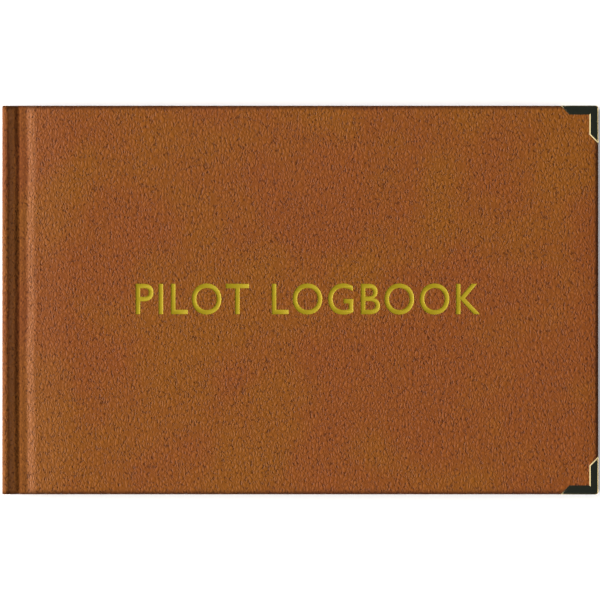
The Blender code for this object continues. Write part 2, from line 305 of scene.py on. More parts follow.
class Recipe:
    """A material's node tree while it is put together."""

    def __init__(self, name: str) -> None:
        """Starts a material of that name with a bare Principled shader."""
        self.material = bpy.data.materials.new(name)
        self.material.use_nodes = True
        self.tree = self.material.node_tree
        self.shader = self.tree.nodes["Principled BSDF"]

    def add(self, kind: str, inputs: dict[Any, Any] | None = None, **settings: Any) -> bpy.types.Node:
        """Adds a node.

        Args:
            kind: the node's type, without its ShaderNode prefix.
            inputs: socket name or number to a value, or to the socket that feeds it.
            settings: the node's own attributes.

        Returns:
            The node.
        """
        node = self.tree.nodes.new("ShaderNode" + kind)
        for name, value in settings.items():
            setattr(node, name, value)
        self.feed(node, inputs or {})
        return node

    def feed(self, node: bpy.types.Node, inputs: dict[Any, Any]) -> None:
        """Sets or links sockets of a node."""
        for key, value in inputs.items():
            if isinstance(value, bpy.types.NodeSocket):
                self.tree.links.new(value, node.inputs[key])
            else:
                node.inputs[key].default_value = value

    def math(self, operation: str, first: Any, second: Any = 0.0, third: Any = 0.0) -> bpy.types.NodeSocket:
        """The result of an arithmetic node."""
        return self.add("Math", {0: first, 1: second, 2: third}, operation=operation).outputs[0]

    def mix(self, factor: Any, first: Any, second: Any, blend: str = "MIX") -> bpy.types.NodeSocket:
        """The result of mixing two colours."""
        node = self.add("Mix", {0: factor, 6: first, 7: second}, data_type="RGBA", blend_type=blend)
        return node.outputs[2]

    def ramp(self, value: Any, low: float, high: float) -> bpy.types.NodeSocket:
        """A smooth rise from 0 to 1 as the value goes from low to high. It falls where low is over high."""
        rising = low < high
        ends = {"From Min": min(low, high), "From Max": max(low, high)}
        to = {"To Min": 0.0 if rising else 1.0, "To Max": 1.0 if rising else 0.0}
        node = self.add("MapRange", {"Value": value, **ends, **to}, interpolation_type="SMOOTHSTEP")
        return node.outputs[0]

    def place(self, scale: Sequence[float] = (1, 1, 1)) -> bpy.types.NodeSocket:
        """The point on the piece, in metres times a scale."""
        coordinates = self.add("TexCoord").outputs["Object"]
        return self.add("Mapping", {"Vector": coordinates, "Scale": scale}).outputs[0]


@dataclass(frozen=True)
class Leatherette:
    """PVC-coated book cloth, embossed with a pebble grain and printed in two browns that drift into each other.

    It gives the eye a satin sheen and short pits and fine creases that run head to tail. Painted shade darkens the
    pits and the creases between pebbles, and painted highlights lighten the fine ridges beside them. A paler band
    along the board's spine edge is wear from rubbing with a painted sheen highlight over it. A painted highlight
    lightens the groove floor by the bead, and painted shade darkens the bead, the crease at the board's foot, the
    shoulder and the head, tail and fore-edge.

    Attributes:
        spine: X of the spine's outer face, from which the bands of wear, painted highlight and painted shade are
            measured.
        fore: X of the fore-edge.
        head: Y of the head.
    """

    spine: float
    fore: float
    head: float
    light: str = "#82490c"
    red: str = "#804213"
    pit_colour: str = "#361202"
    crease_colour: str = "#a8652a"
    rubbed: str = "#a86a40"
    dirty: str = "#1c0a06"
    pebble: float = 1.35 * MM
    stretch: float = 1.5
    pit: float = 0.8 * MM
    drift: float = 38 * MM
    roughness: float = 0.5

    def build(self) -> bpy.types.Material:
        """Makes the material."""
        mat = Recipe("leatherette_brown")
        place = mat.add("Attribute", attribute_name=PLACE).outputs["Vector"]
        warped = self._warped(mat, place)
        cells = self._scaled(mat, warped, self.pebble)
        edge = mat.add("TexVoronoi", {"Vector": cells, "Scale": 1.0}, feature="DISTANCE_TO_EDGE").outputs[0]
        dome = mat.ramp(edge, 0.0, 0.3)
        streaks = mat.add("TexNoise", {"Vector": self._scaled(mat, warped, self.pit), "Scale": 1.0, "Detail": 1.0})
        pit = mat.ramp(streaks.outputs[0], 0.55, 0.72)
        # Painted highlight: the fine ridges of the grain are lightened as if the light from the left caught them.
        ridge_highlight = mat.ramp(streaks.outputs[0], 0.42, 0.28)
        fine = mat.add("TexNoise", {"Vector": place, "Scale": 1 / (0.4 * MM), "Detail": 2.0}).outputs[0]
        drift = mat.add("TexNoise", {"Vector": place, "Scale": 1 / self.drift, "Detail": 3.0}).outputs[0]
        base = mat.mix(mat.ramp(drift, 0.35, 0.65), linear(self.light), linear(self.red))
        # Wear from rubbing, painted highlights and painted shade, in bands measured from the spine.
        base, painted_shade = self._worn(mat, place, base)
        base = mat.mix(mat.math("MULTIPLY", ridge_highlight, 0.22), base, linear(self.crease_colour))
        # Painted shade: the creases between pebbles and the pits are darkened as if shade fell into them.
        crease = mat.math("MULTIPLY", mat.math("SUBTRACT", 1.0, dome), 0.2)
        pit_and_crease_shade = mat.math("MAXIMUM", mat.math("MULTIPLY", pit, 0.62), crease)
        base = mat.mix(pit_and_crease_shade, base, linear(self.pit_colour))
        height = mat.math("MULTIPLY_ADD", pit, -1.3, dome)
        height = mat.math("MULTIPLY_ADD", fine, 0.25, height)
        bump = mat.add("Bump", {"Height": height, "Strength": 0.8, "Distance": 0.13 * MM}).outputs[0]
        # The roughness rises where shade is painted, which dulls the sheen there.
        dulled = mat.math("MINIMUM", mat.math("ADD", painted_shade, self.roughness), 1.0)
        mat.feed(mat.shader, {"Base Color": base, "Normal": bump, "Roughness": dulled})
        mat.feed(mat.shader, {"Specular IOR Level": 0.18})
        return mat.material

    def _scaled(self, mat: Recipe, place: Any, size: float) -> bpy.types.NodeSocket:
        """A place in units of a grain size, which is longer from head to tail."""
        scale = (1 / size, 1 / (size * self.stretch), 1 / size)
        return mat.add("Mapping", {"Vector": place, "Scale": scale}).outputs[0]

    @staticmethod
    def _warped(mat: Recipe, place: Any) -> bpy.types.NodeSocket:
        """A place moved about, so that the grain has no straight rows."""
        wander = mat.add("TexNoise", {"Vector": place, "Scale": 1 / (3 * MM), "Detail": 1.0}).outputs[1]
        shift = mat.add("VectorMath", {0: wander, 1: (0.5, 0.5, 0.5)}, operation="SUBTRACT").outputs[0]
        shift = mat.add("VectorMath", {0: shift, "Scale": 1.1 * MM}, operation="SCALE").outputs[0]
        return mat.add("VectorMath", {0: place, 1: shift}, operation="ADD").outputs[0]

    def _worn(self, mat: Recipe, place: Any, base: Any) -> tuple[bpy.types.NodeSocket, bpy.types.NodeSocket]:
        """Adds wear from rubbing with a painted sheen highlight to the board's edge and a painted highlight to the
        groove floor, and paints shade on the bead, the shoulder, the crease at the board's foot and the head, tail
        and fore-edge.

        Args:
            mat: the material.
            place: the point on the closed book.
            base: the colour so far.

        Returns:
            The colour with its wear, painted highlight and painted shade, and the strength of the painted shade, from
            0 to 1.
        """
        uneven = mat.add("TexNoise", {"Vector": place, "Scale": 1 / (22 * MM), "Detail": 2.0}).outputs[0]
        across = mat.add("SeparateXYZ", {0: place}).outputs[0]
        across = mat.math("MULTIPLY_ADD", uneven, 1.6 * MM, mat.math("SUBTRACT", across, self.spine + 0.8 * MM))
        # Wear from rubbing, and a painted sheen highlight, along the board's spine edge; a weaker band reaches across
        # the board.
        rubbed = self._band(mat, across, (9.6, 11.0, 11.8, 14.8), 0.6)
        rubbed = mat.math("MAXIMUM", rubbed, self._band(mat, across, (11, 14, 16, 31), 0.11))
        base = mat.mix(rubbed, base, linear(self.rubbed))
        # Painted highlight: the groove floor beside the bead is lightened where the lighting leaves it in shade.
        base = mat.mix(self._band(mat, across, (2.4, 3.2, 4.6, 5.6), 0.7), base, linear(self.crease_colour))
        # Painted shade on the board's shoulder, along the head, tail and fore-edge, on the bead and in the crease at
        # the board's foot.
        painted_shade = mat.math("MAXIMUM", self._band(mat, across, (6.6, 7.4, 8.8, 10.8), 0.42), self._handled(mat, place))
        painted_shade = mat.math("MAXIMUM", painted_shade, self._band(mat, across, (-2.0, -1.0, 1.6, 3.2), 0.2))
        painted_shade = mat.math("MAXIMUM", painted_shade, self._band(mat, across, (4.6, 5.8, 7.0, 8.0), 0.45))
        return mat.mix(painted_shade, base, linear(self.dirty)), painted_shade

    def _handled(self, mat: Recipe, place: Any) -> bpy.types.NodeSocket:
        """Painted shade along the head, tail and fore-edge, where the cover's rounded edges turn away from the light.
        """
        split = mat.add("SeparateXYZ", {0: place})
        reach = mat.math("SUBTRACT", self.fore, split.outputs[0])
        reach = mat.math("MINIMUM", reach, mat.math("SUBTRACT", self.head, mat.math("ABSOLUTE", split.outputs[1])))
        return mat.math("MULTIPLY", mat.ramp(reach, 2.2 * MM, 0.0), 0.75)

    @staticmethod
    def _band(mat: Recipe, across: Any, edges: Sequence[float], strength: float = 1.0) -> bpy.types.NodeSocket:
        """A soft-edged band.

        Args:
            mat: the material.
            across: the distance from the spine.
            edges: where it starts to rise, is full, starts to fall and has gone, in millimetres.
            strength: its value where it is full.

        Returns:
            The band's value.
        """
        rise = mat.ramp(across, edges[0] * MM, edges[1] * MM)
        fall = mat.ramp(across, edges[3] * MM, edges[2] * MM)
        return mat.math("MULTIPLY", mat.math("MULTIPLY", rise, fall), strength)


@dataclass(frozen=True)
class Brass:
    """Polished sheet brass, pressed into corner guards: it mirrors its surroundings, with fine scuffs."""

    colour: str = "#d6c08c"
    roughness: float = 0.1

    def build(self) -> bpy.types.Material:
        """Makes the material."""
        mat = Recipe("brass_polished")
        scuffs = mat.add("TexNoise", {"Vector": mat.place(), "Scale": 1 / (1.5 * MM), "Detail": 5.0}).outputs[0]
        rough = mat.add("MapRange", {"Value": scuffs, "To Min": self.roughness, "To Max": self.roughness + 0.08})
        bump = mat.add("Bump", {"Height": scuffs, "Strength": 0.08, "Distance": 0.05 * MM}).outputs[0]
        mat.feed(mat.shader, {"Base Color": linear(self.colour), "Metallic": 1.0})
        mat.feed(mat.shader, {"Roughness": rough.outputs[0], "Normal": bump})
        return mat.material


@dataclass(frozen=True)
class GoldFoil:
    """Hot-stamped gold foil: a thin metal film that still shows a little of the grain it was pressed into."""

    colour: str = "#a8910f"
    roughness: float = 0.42

    def build(self) -> bpy.types.Material:
        """Makes the material."""
        mat = Recipe("gold_foil")
        grain = mat.add("TexNoise", {"Vector": mat.place(), "Scale": 1 / (1.1 * MM), "Detail": 3.0}).outputs[0]
        bump = mat.add("Bump", {"Height": grain, "Strength": 0.3, "Distance": 0.06 * MM}).outputs[0]
        mat.feed(mat.shader, {"Base Color": linear(self.colour), "Metallic": 0.35, "Normal": bump})
        mat.feed(mat.shader, {"Roughness": self.roughness})
        return mat.material


@dataclass(frozen=True)
class Paper:
    """Uncoated wood-free paper: matt, faintly mottled by its fibres.

    Attributes:
        name: the material's name.
        colour: the paper's own colour.
        ruled: whether both faces carry the printed lines of a log page.
    """

    name: str
    colour: str
    ruled: bool = False
    line: str = "#5f7588"
    tint: str = "#b7c5c6"
    row_pitch: float = 7.5 * MM
    line_width: float = 0.25 * MM

    def build(self, book: Book) -> bpy.types.Material:
        """Makes the material. Its printed table is centred on the leaves."""
        mat = Recipe(self.name)
        fibres = mat.add("TexNoise", {"Vector": mat.place(), "Scale": 1 / (0.8 * MM), "Detail": 4.0}).outputs[0]
        shade = mat.add("MapRange", {"Value": fibres, "To Min": 0.94, "To Max": 1.03}).outputs[0]
        base = mat.mix(1.0, linear(self.colour), shade, blend="MULTIPLY")
        if self.ruled:
            base = self._printed(mat, base, book)
        bump = mat.add("Bump", {"Height": fibres, "Strength": 0.25, "Distance": 0.03 * MM}).outputs[0]
        mat.feed(mat.shader, {"Base Color": base, "Normal": bump, "Roughness": 0.85})
        mat.feed(mat.shader, {"Specular IOR Level": 0.25})
        return mat.material

    def _printed(self, mat: Recipe, base: Any, book: Book) -> bpy.types.NodeSocket:
        """Draws a blank log table: a tinted heading band, rows, and columns of unequal width."""
        margin = 8 * MM
        left, right = book.leaf_low.x + 2 * margin, book.leaf_high.x - margin
        foot, head = book.leaf_low.y + margin, book.leaf_high.y - margin
        heading = head - 2 * self.row_pitch
        split = mat.add("SeparateXYZ", {0: mat.place()})
        across, up = split.outputs[0], split.outputs[1]
        columns = [0, 0.09, 0.2, 0.31, 0.39, 0.47, 0.56, 0.65, 0.74, 0.83, 1]
        lines: Any = 0.0
        for share in columns:
            gap = mat.math("ABSOLUTE", mat.math("SUBTRACT", across, left + (right - left) * share))
            wide = self.line_width * (1.6 if share in (0, 1) else 1)
            lines = mat.math("MAXIMUM", lines, mat.math("LESS_THAN", gap, wide / 2))
        row = mat.math("MODULO", mat.math("SUBTRACT", head, up), self.row_pitch)
        near = mat.math("MINIMUM", row, mat.math("SUBTRACT", self.row_pitch, row))
        lines = mat.math("MAXIMUM", lines, mat.math("LESS_THAN", near, self.line_width / 2))
        edge = self.line_width / 2
        inside = mat.math("MULTIPLY", self._between(mat, across, left - edge, right + edge), 1.0)
        inside = mat.math("MULTIPLY", inside, self._between(mat, up, foot, head + edge))
        normal = mat.add("SeparateXYZ", {0: mat.add("TexCoord").outputs["Normal"]}).outputs[2]
        flat = mat.math("GREATER_THAN", mat.math("ABSOLUTE", normal), 0.7)
        inside = mat.math("MULTIPLY", inside, flat)
        band = mat.math("MULTIPLY", inside, mat.math("GREATER_THAN", up, heading))
        base = mat.mix(mat.math("MULTIPLY", band, 0.8), base, linear(self.tint))
        return mat.mix(mat.math("MULTIPLY", mat.math("MULTIPLY", inside, lines), 0.8), base, linear(self.line))

    @staticmethod
    def _between(mat: Recipe, value: Any, low: float, high: float) -> bpy.types.NodeSocket:
        """1 where the value lies between two limits."""
        return mat.math("MULTIPLY", mat.math("GREATER_THAN", value, low), mat.math("LESS_THAN", value, high))


@dataclass(frozen=True)
class Woven:
    """A woven or wound textile: crossing threads at a real pitch, or stripes where two colours are given."""

    name: str
    colour: str
    second: str
    pitch: float
    stripes: bool = False

    def build(self) -> bpy.types.Material:
        """Makes the material."""
        mat = Recipe(self.name)
        split = mat.add("SeparateXYZ", {0: mat.place([1 / self.pitch] * 3)})
        turns = [mat.math("SINE", mat.math("MULTIPLY", axis, math.tau)) for axis in split.outputs]
        if self.stripes:
            height = turns[2]
            share = mat.ramp(height, -0.2, 0.2)
        else:
            height = mat.math("MAXIMUM", turns[0], turns[1])
            share = mat.ramp(height, 0.2, 0.8)
        base = mat.mix(share, linear(self.second), linear(self.colour))
        bump = mat.add("Bump", {"Height": height, "Strength": 0.5, "Distance": 0.1 * MM}).outputs[0]
        mat.feed(mat.shader, {"Base Color": base, "Normal": bump, "Roughness": 0.8})
        return mat.material


@dataclass(frozen=True)
class Fibrous:
    """Greyboard, kraft paper or linen thread: matt and flecked with fibres."""

    name: str
    colour: str
    fleck: str
    size: float = 0.7 * MM

    def build(self) -> bpy.types.Material:
        """Makes the material."""
        mat = Recipe(self.name)
        flecks = mat.add("TexNoise", {"Vector": mat.place(), "Scale": 1 / self.size, "Detail": 4.0}).outputs[0]
        base = mat.mix(mat.ramp(flecks, 0.45, 0.62), linear(self.colour), linear(self.fleck))
        bump = mat.add("Bump", {"Height": flecks, "Strength": 0.4, "Distance": 0.05 * MM}).outputs[0]
        mat.feed(mat.shader, {"Base Color": base, "Normal": bump, "Roughness": 0.9})
        return mat.material


@dataclass
class Finishes:
    """Every material of the book, keyed by the record's slot."""

    leatherette: bpy.types.Material
    brass: bpy.types.Material
    foil: bpy.types.Material
    page_paper: bpy.types.Material
    endpaper: bpy.types.Material
    greyboard: bpy.types.Material
    mull: bpy.types.Material
    kraft_lining: bpy.types.Material
    woven_band: bpy.types.Material
    thread: bpy.types.Material

    @classmethod
    def build(cls, book: Book) -> "Finishes":
        """Makes them all."""
        return cls(
            leatherette=Leatherette(book.spine, book.fore, book.head).build(),
            brass=Brass().build(),
            foil=GoldFoil().build(),
            page_paper=Paper("page_paper_ruled", "#cfc9b7", ruled=True).build(book),
            endpaper=Paper("endpaper_cream", "#c6bca3").build(book),
            greyboard=Fibrous("greyboard_fibrous", "#8d8880", "#75706a").build(),
            mull=Woven("mull_gauze", "#dcd3bd", "#b9ae96", 0.9 * MM).build(),
            kraft_lining=Fibrous("kraft_paper", "#a98558", "#8f6d43").build(),
            woven_band=Woven("headband_stripe", "#9c2f22", "#eadfc4", 1.1 * MM, stripes=True).build(),
            thread=Fibrous("linen_thread", "#ece7da", "#d8d0bd", 0.2 * MM).build(),
        )


# ---- The case -------------------------------------------------------------------------------------------------


@dataclass
class CaseLeather:
    """The leatherette: one sheet over both boards and the spine, shaped here as the pieces that its hinges part.

    Attributes:
        book: the frame's surfaces.
        finish: the leatherette.
        thickness: of the sheet.
        shoulder: length over which the sheet rises from the groove on to the board.
        groove: depth of the groove's floor.
        foot: X, from the spine's outer face, of the crease at the foot of the board.
        turn_in: width of the sheet turned on to the inside of the boards.
        bead: radius of the spine's two long edges.
        bead_wrap: how far the sheet follows that edge.
        spread: share by which two points are set past the bead's ends; nothing bends the sheet with them.
    """

    book: Book
    finish: bpy.types.Material
    thickness: float = 0.4 * MM
    shoulder: float = 7.1 * MM
    groove: float = 2.1 * MM
    foot: float = 6.9 * MM
    turn_in: float = 15 * MM
    bead: float = 1.6 * MM
    bead_wrap: float = math.radians(150)
    spread: float = 0.12

    def build(self) -> list[bpy.types.Object]:
        """Makes every piece of the sheet except the front cover's, which the title and the guards still cut."""
        pieces = [self.cover(Side.BACK), self.spine()]
        pieces += [self.groove_floor(side) for side in Side]
        pieces += [self.bead_edge(side) for side in Side]
        return pieces

    def cover(self, side: Side) -> bpy.types.Object:
        """The sheet over a board, rounded at its edges and turned in at the head, tail and fore-edge."""
        book = self.book
        low = Vector((book.spine + self.foot, -book.head, book.top - book.inner))
        high = Vector((book.fore, book.head, book.top))
        bm = box_mesh(low, high)
        upright = [e for e in bm.edges if all(v.co.x > high.x - 1e-6 for v in e.verts) and self._along(e, 2)]
        bevel(bm, upright, 2.2 * MM, 6)
        for level, width in ((high.z, 1.6 * MM), (low.z, 0.5 * MM)):
            rim = [
                e
                for e in bm.edges
                if all(abs(v.co.z - level) < 1e-6 for v in e.verts)
                and not all(v.co.x < low.x + 1e-6 for v in e.verts)
            ]
            bevel(bm, rim, width, 6)
        rise = [low.x + self.shoulder * (1 - math.cos(math.pi / 2 * step / 14)) for step in range(1, 15)]
        cut_across(bm, rise + spaced(low.x + self.shoulder, high.x - 2 * MM, 6 * MM), 0)
        cut_across(bm, spaced(low.y + 2 * MM, high.y - 2 * MM, 6 * MM), 1)
        inner = (high.x - self.turn_in, high.y - self.turn_in)
        cut_across(bm, [inner[0]], 0)
        cut_across(bm, [-inner[1], inner[1]], 1)
        bm.normal_update()

        def is_open(face: bmesh.types.BMFace) -> bool:
            middle = face.calc_center_median()
            under = face.normal.z < -0.9 and middle.x < inner[0] and abs(middle.y) < inner[1]
            return under or face.normal.x < -0.9

        bmesh.ops.delete(bm, geom=[f for f in bm.faces if is_open(f)], context="FACES")
        for vert in bm.verts:
            self._shape(vert, low, high)
        if side is Side.BACK:
            mirror_down(bm, book)
        piece = to_object(f"{side.value}_cover_leather", bm, self.finish)
        thicken(piece, self.thickness)
        applied(piece)
        if side is Side.BACK:
            keep_place(piece)
        return self._ride(piece, f"{side.value}_cover", f"{side.value}_cover_skin")

    def _shape(self, vert: bmesh.types.BMVert, low: Vector, high: Vector) -> None:
        """Lowers the sheet to the groove along the board's rounded edge, and lets the flat of it wander slightly."""
        run = (low.x + self.shoulder - vert.co.x) / self.shoulder
        if run > 0:
            fall = self.groove * (1 - math.sqrt(max(0.0, 1 - run**3)))
            share = (vert.co.z - low.z) / (high.z - low.z)
            vert.co.z -= fall * share
        elif vert.co.z > high.z - 1e-6:
            inset = min(high.x - vert.co.x, high.y - abs(vert.co.y))
            wander = noise.noise(Vector((vert.co.x / 0.05, vert.co.y / 0.04, 3.0)))
            vert.co.z += (0.035 * MM * wander - 0.03 * MM) * smoothstep(inset / (20 * MM))

    @staticmethod
    def _along(edge: bmesh.types.BMEdge, axis: int) -> bool:
        """Whether an edge runs along an axis."""
        run = edge.verts[1].co - edge.verts[0].co
        return abs(run[axis]) > 0.9 * run.length

    def _fold(self, share: float, radius: float, tuck: float = 11 * MM) -> tuple[float, float]:
        """Follows the sheet from tail to head, where it is folded in at both ends.

        Args:
            share: how far along, from 0 to 1.
            radius: of the fold at each end.
            tuck: length that is turned in.

        Returns:
            Y, and how far inside the outer surface the point lies.
        """
        side = 1 if share >= 0.5 else -1
        run = abs(share - 0.5) * 2
        straight, arc = 0.6, 0.85
        end = self.book.head - radius
        if run <= straight:
            return side * end * run / straight, 0.0
        if run <= arc:
            angle = math.pi * (run - straight) / (arc - straight)
            return side * (end + radius * math.sin(angle)), radius * (1 - math.cos(angle))
        return side * (end - tuck * (run - arc) / (1 - arc)), 2 * radius

    def _swept(
        self, name: str, columns: int, profile: Callable[[float], tuple[Vector, Vector]], radius: float
    ) -> bmesh.types.BMesh:
        """Sweeps a profile from tail to head.

        Args:
            name: the piece's name.
            columns: steps along the profile.
            profile: gives the point and the inward direction for a share from 0 to 1.
            radius: of the folds at head and tail.

        Returns:
            The open sheet, facing outwards.
        """

        def place(along: float, across: float) -> Vector:
            point, inwards = profile(along)
            y, depth = self._fold(across, radius)
            return Vector((0, y, 0)) + point + inwards * depth

        log.debug("sweeping %s", name)
        return mapped_sheet(columns, 56, place)

    def _bead_point(self, angle: float) -> tuple[Vector, Vector]:
        """The point on the front bead at an angle from its spine side, and the way inwards there."""
        outwards = Vector((-math.cos(angle), 0, math.sin(angle)))
        centre = Vector((self.book.spine + self.bead, 0, self.book.top - self.bead))
        return centre + outwards * self.bead, -outwards

    def _finish_strip(self, name: str, bm: bmesh.types.BMesh, side: Side, facing: Vector) -> bpy.types.Object:
        """Turns a swept sheet to face outwards, puts it on its side and makes its object."""
        bm.normal_update()
        if sum((face.normal * face.calc_area() for face in bm.faces), Vector()).dot(facing) < 0:
            bmesh.ops.reverse_faces(bm, faces=bm.faces)
        if side is Side.BACK:
            mirror_down(bm, self.book)
        piece = to_object(name, bm, self.finish)
        thicken(piece, self.thickness)
        applied(piece)
        keep_place(piece)
        return piece

    def spine(self) -> bpy.types.Object:
        """The flat of the spine."""
        book = self.book
        low, high = book.bottom + self.bead, book.top - self.bead

        def profile(along: float) -> tuple[Vector, Vector]:
            return Vector((book.spine, 0, low + (high - low) * along)), Vector((1, 0, 0))

        bm = self._outer_only(self._swept("spine", 8, profile, 0.75 * MM))
        piece = self._finish_strip("spine_leather", bm, Side.FRONT, Vector((-1, 0, 0)))
        return self._ride(piece, "spine", "spine_skin")

    @staticmethod
    def _outer_only(bm: bmesh.types.BMesh) -> bmesh.types.BMesh:
        """Leaves a sheet as it is: the flat of the spine keeps its folds."""
        return bm

    def bead_edge(self, side: Side) -> bpy.types.Object:
        """The sheet over one of the spine's rounded long edges."""
        book = self.book

        def profile(along: float) -> tuple[Vector, Vector]:
            return self._bead_point(self.bead_wrap * along)

        bm = self._swept(f"{side.value} bead", 14, profile, 0.5 * MM)
        piece = self._finish_strip(f"{side.value}_spine_edge_leather", bm, side, Vector((0, 0, 1)))
        near, _ = self._bead_point(0.0)
        far, _ = self._bead_point(self.bead_wrap)
        start = near + (near - far) * self.spread
        end = far + (far - near) * self.spread
        if side is Side.FRONT:
            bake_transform(piece)
        else:
            start.z, end.z = (book.top + book.bottom - z for z in (start.z, end.z))
            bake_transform(piece)
        return piece

    def groove_floor(self, side: Side) -> bpy.types.Object:
        """The sheet pressed into the groove between the spine and the board."""
        book = self.book
        start, _ = self._bead_point(self.bead_wrap)
        foot = Vector((book.spine + self.foot + 0.25 * MM, 0, book.top - self.groove - 0.05 * MM))

        def profile(along: float) -> tuple[Vector, Vector]:
            point = start.lerp(foot, along)
            bowl = self.groove + 0.22 * MM - (book.top - start.z)
            drop = bowl * (1 - (1 - min(along / 0.84, 1)) ** 1.7)
            point.z = start.z - drop + (foot.z - start.z + bowl) * smoothstep((along - 0.84) / 0.16)
            return point, Vector((0, 0, -1))

        bm = self._swept(f"{side.value} groove", 25, profile, 0.36 * MM)
        piece = self._finish_strip(f"{side.value}_groove_leather", bm, side, Vector((0, 0, 1)))
        if side is Side.BACK:
            start.z, foot.z = (book.top + book.bottom - z for z in (start.z, foot.z))
            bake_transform(piece)
            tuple(start)
            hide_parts("back_joint_skin")
        else:
            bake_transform(piece)
            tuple(start)
            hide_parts("front_joint_skin")
        return piece

    def _ride(self, piece: bpy.types.Object, body: str, node: str) -> bpy.types.Object:
        """Puts a piece on its body in place of a node."""
        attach(piece, body)
        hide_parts(node)
        return piece


@dataclass
class BoardCore:
    """The greyboard inside a cover, its edges crushed round under the leatherette."""

    side: Side
    finish: bpy.types.Material
    inset: float = 0.35 * MM
    spine_inset: float = 1.1 * MM
    crush: float = 0.85 * MM

    def build(self) -> bpy.types.Object:
        """Makes the board."""
        node = f"{self.side.value}_board"
        low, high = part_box(node)
        inset = Vector((self.inset, self.inset, 0))
        bm = box_mesh(low + inset + Vector((self.spine_inset, 0, 0)), high - inset)
        bevel(bm, bm.edges[:], self.crush, 4)
        board = to_object(f"{node}_core", bm, self.finish)
        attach(board, f"{self.side.value}_cover")
        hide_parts(node)
        return board


@dataclass
class Title:
    """Generic words stamped in gold foil, pressed a little into the front cover.

    Attributes:
        book: the frame's surfaces.
        finish: the foil.
        words: what it says.
        cap_height: of the letters.
        width: of the whole line.
        press: how deep the foil lies.
        bold: how much wider the strokes are cut on each side.
        shift: where its middle lies from the middle of the cover.
    """

    book: Book
    finish: bpy.types.Material
    words: str = "PILOT LOGBOOK"
    cap_height: float = 12.2 * MM
    width: float = 137 * MM
    press: float = 0.2 * MM
    bold: float = 0.05 * MM
    shift: tuple[float, float] = (2.9 * MM, 0.4 * MM)

    def _letters(self, name: str, offset: float, extrude: float, press: float) -> bmesh.types.BMesh:
        """The words as a mesh, in place on the cover.

        Args:
            name: of the text.
            offset: how far the letters' outline is moved out.
            extrude: half of the letters' thickness.
            press: size of the bevel on their edges.

        Returns:
            Their mesh, with its middle level on the cover's outer face.
        """
        text = bpy.data.curves.new(name, "FONT")
        text.body = self.words
        text.size = 1.0
        text.space_character = 1.12
        text.space_word = 1.35
        text.resolution_u = 6
        font = bpy.data.objects.new(name, text)
        bpy.context.scene.collection.objects.link(font)
        bpy.context.view_layer.update()
        plain = bpy.data.meshes.new_from_object(font.evaluated_get(bpy.context.evaluated_depsgraph_get()))
        xs = [v.co.x for v in plain.vertices]
        ys = [v.co.y for v in plain.vertices]
        scale = Vector((self.width / (max(xs) - min(xs)), self.cap_height / (max(ys) - min(ys)), 1))
        middle = Vector(((max(xs) + min(xs)) / 2, (max(ys) + min(ys)) / 2, 0))
        text.offset = offset / scale.y
        text.extrude = extrude
        text.bevel_depth = press / scale.y
        text.bevel_resolution = 1
        bpy.context.view_layer.update()
        shaped = bpy.data.meshes.new_from_object(font.evaluated_get(bpy.context.evaluated_depsgraph_get()))
        bpy.data.objects.remove(font)
        bm = bmesh.new()
        bm.from_mesh(shaped)
        bmesh.ops.translate(bm, vec=-middle, verts=bm.verts)
        if press:
            scale.z = scale.y
        bmesh.ops.scale(bm, vec=scale, verts=bm.verts)
        centre = (self.book.spine + self.book.fore) / 2
        place = Vector((centre + self.shift[0], self.shift[1], self.book.top))
        bmesh.ops.translate(bm, vec=place, verts=bm.verts)
        bmesh.ops.remove_doubles(bm, verts=bm.verts, dist=0.5e-6)
        return bm

    def cutter(self) -> bmesh.types.BMesh:
        """The letters as solids that reach through the leatherette."""
        return self._letters("title_cutter", self.bold + 0.5 * self.press, 1 * MM, 0.0)

    def build(self) -> bpy.types.Object:
        """The foil: a tray under each letter, its walls sloping up to the leatherette."""
        bm = self._letters("title", self.bold - 0.5 * self.press, 0.0, self.press)
        level = self.book.top + 0.01 * self.press
        bmesh.ops.delete(bm, geom=[v for v in bm.verts if v.co.z > level], context="VERTS")
        bm.normal_update()
        bmesh.ops.recalc_face_normals(bm, faces=bm.faces)
        bm.normal_update()
        if sum(f.normal.z * f.calc_area() for f in bm.faces) < 0:
            bmesh.ops.reverse_faces(bm, faces=bm.faces)
        piece = to_object("title_foil", bm, self.finish)
        piece.data.set_sharp_from_angle(angle=math.radians(25))
        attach(piece, "front_cover")
        return piece


